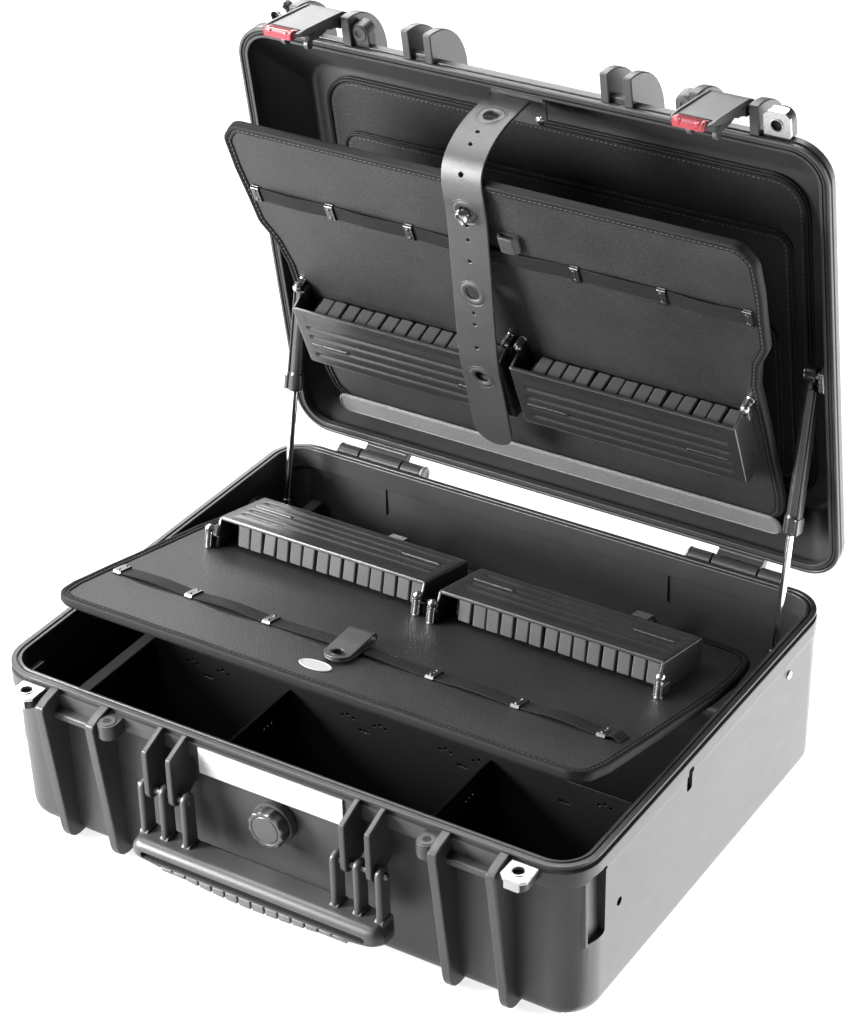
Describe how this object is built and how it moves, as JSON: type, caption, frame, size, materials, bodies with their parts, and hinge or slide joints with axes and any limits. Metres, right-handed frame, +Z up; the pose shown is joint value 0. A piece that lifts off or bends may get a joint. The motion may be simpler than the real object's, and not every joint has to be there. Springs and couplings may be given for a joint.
{
  "type": "hard tool case",
  "caption": "Hard moulded case with a hinged lid on gas struts, draw latches, a swing handle, leaning tool boards with holders in lid and base, and divider compartments.",
  "frame": {"origin": "middle of the flat underside of the base, midway between the rim's left and right sides and its front and back", "axes": "+Z up, +X to the right as the user faces the front, -Y towards the front with the handle"},
  "size_m": [0.5206, 0.5066, 0.577],
  "materials": {
    "shell": "fine satin mould texture",
    "fitting": "fine satin mould texture",
    "grip": "ribbed, matte",
    "latch": "satin",
    "red": "semi-gloss",
    "label": "blank",
    "steel": "bright zinc or stainless",
    "rod": "polished",
    "tube": "gloss black",
    "caps": "light grey",
    "seal": "soft foam rubber",
    "divider": "matte sheet",
    "side_divider": "lighter grey sheet",
    "board": "grained leatherette over a stiff core",
    "binding": "bound edge",
    "panel": "grained leatherette",
    "strap": "grey leather",
    "flap": "lighter grey strip",
    "elastic": "woven elastic",
    "holder": "satin",
    "comb": "flexible fins"
  },
  "bodies": {
    "base": {"base_shell": "shell", "base_corner_plates": "steel", "label_plate": "label", "valve_body": "fitting", "handle_pins": "steel", "hinge_pins": "steel", "hinge_caps": "caps", "strut_base_brackets": "steel", "divider_side": "side_divider", "divider_long": "divider", "dividers_cross": "divider", "board_hinge_brackets": "steel"},
    "lid": {"lid_shell": "shell", "lid_seal": "seal", "lid_corner_plates": "steel", "strut_lid_brackets": "steel", "latch_pins": "steel", "document_panel": "panel", "document_pocket": "panel", "card_pocket": "panel", "strap_bracket": "fitting", "strap_rivets": "steel", "flap_gusset": "flap", "strap_arc": "strap"},
    "valve_knob": {"valve_knob": "fitting"},
    "handle": {"handle": "fitting", "handle_grip": "grip"},
    "latch_left": {"latch_left": "latch"},
    "latch_right": {"latch_right": "latch"},
    "latch_button_left": {"latch_button_left": "red"},
    "latch_button_right": {"latch_button_right": "red"},
    "strut_tube_left": {"strut_tube_left": "tube"},
    "strut_tube_right": {"strut_tube_right": "tube"},
    "strut_rod_left": {"strut_rod_left": "rod"},
    "strut_rod_right": {"strut_rod_right": "rod"},
    "upper_board": {"upper_board": "board", "upper_binding": "binding", "upper_elastic": "elastic", "upper_clips": "steel", "upper_loop": "strap", "upper_holders": "holder", "upper_combs": "comb", "upper_screws": "steel", "upper_flap": "flap", "strap_front": "strap", "strap_eyelets": "steel", "turn_lock_base": "steel"},
    "turn_lock": {"turn_lock_knob": "steel"},
    "lower_board": {"lower_board": "board", "lower_binding": "binding", "lower_elastic": "elastic", "lower_clips": "steel", "lower_tab": "strap", "lower_badge": "label", "lower_holders": "holder", "lower_combs": "comb", "lower_screws": "steel", "lower_hinge_arms": "steel"}
  },
  "joints": [
    {"name": "lid_hinge", "type": "hinge", "parent": "base", "child": "lid", "pos_m": [0, 0.212, 0.138], "axis": [1, 0, 0], "range_deg": [0, 81.5]},
    {"name": "strut_pivot_left", "type": "hinge", "parent": "lid", "child": "strut_tube_left", "pos_m": [-0.234, 0.20533, 0.33821], "axis": [1, 0, 0], "range_deg": [-2.62, 0.05]},
    {"name": "strut_slide_left", "type": "slide", "parent": "strut_tube_left", "child": "strut_rod_left", "axis": [0, -0.2185, -0.9758], "range_m": [-0.09252, 0.0001]},
    {"name": "strut_pivot_right", "type": "hinge", "parent": "lid", "child": "strut_tube_right", "pos_m": [0.234, 0.20533, 0.33821], "axis": [1, 0, 0], "range_deg": [-2.62, 0.05]},
    {"name": "strut_slide_right", "type": "slide", "parent": "strut_tube_right", "child": "strut_rod_right", "axis": [0, -0.2185, -0.9758], "range_m": [-0.09252, 0.0001]},
    {"name": "latch_left", "type": "hinge", "parent": "lid", "child": "latch_left", "pos_m": [-0.176, 0.16342, 0.56451], "axis": [-1, 0, 0], "range_deg": [-11.5, 100]},
    {"name": "latch_button_left", "type": "slide", "parent": "latch_left", "child": "latch_button_left", "axis": [0, 0.9986, -0.0523], "range_m": [0, 0.003], "stiffness_N_per_m": 300, "springref_m": -0.002},
    {"name": "latch_right", "type": "hinge", "parent": "lid", "child": "latch_right", "pos_m": [0.176, 0.16342, 0.56451], "axis": [-1, 0, 0], "range_deg": [-11.5, 100]},
    {"name": "latch_button_right", "type": "slide", "parent": "latch_right", "child": "latch_button_right", "axis": [0, 0.9986, -0.0523], "range_m": [0, 0.003], "stiffness_N_per_m": 300, "springref_m": -0.002},
    {"name": "handle", "type": "hinge", "parent": "base", "child": "handle", "pos_m": [0, -0.217, 0.097], "axis": [-1, 0, 0], "range_deg": [0, 95]},
    {"name": "valve_knob", "type": "hinge", "parent": "base", "child": "valve_knob", "pos_m": [0, -0.204, 0.092], "axis": [0, -1, 0], "range_deg": [0, 270]},
    {"name": "upper_board_tilt", "type": "hinge", "parent": "lid", "child": "upper_board", "pos_m": [0, 0.18907, 0.07896], "axis": [1, 0, 0], "range_deg": [-12.85, 0.05], "deforming": ["strap_arc", "flap_gusset"]},
    {"name": "turn_lock", "type": "hinge", "parent": "upper_board", "child": "turn_lock", "pos_m": [-0.008, 0.09643, 0.46358], "axis": [0, -0.9317, -0.3633], "range_deg": [0, 90]},
    {"name": "lower_board_tilt", "type": "hinge", "parent": "base", "child": "lower_board", "pos_m": [0, 0.186, 0.062], "axis": [1, 0, 0], "range_deg": [-0.05, 13.11]}
  ],
  "couplings": [
    {"joint": "strut_pivot_left", "follows": "lid_hinge", "ratio": -0.031589},
    {"joint": "strut_slide_left", "follows": "lid_hinge", "m_per_rad": -0.064899},
    {"joint": "strut_pivot_right", "follows": "lid_hinge", "ratio": -0.031589},
    {"joint": "strut_slide_right", "follows": "lid_hinge", "m_per_rad": -0.064899},
    {"joint": "upper_board_tilt", "follows": "lid_hinge", "ratio": -0.15706},
    {"joint": "lower_board_tilt", "follows": "lid_hinge", "ratio": 0.16024}
  ]
}
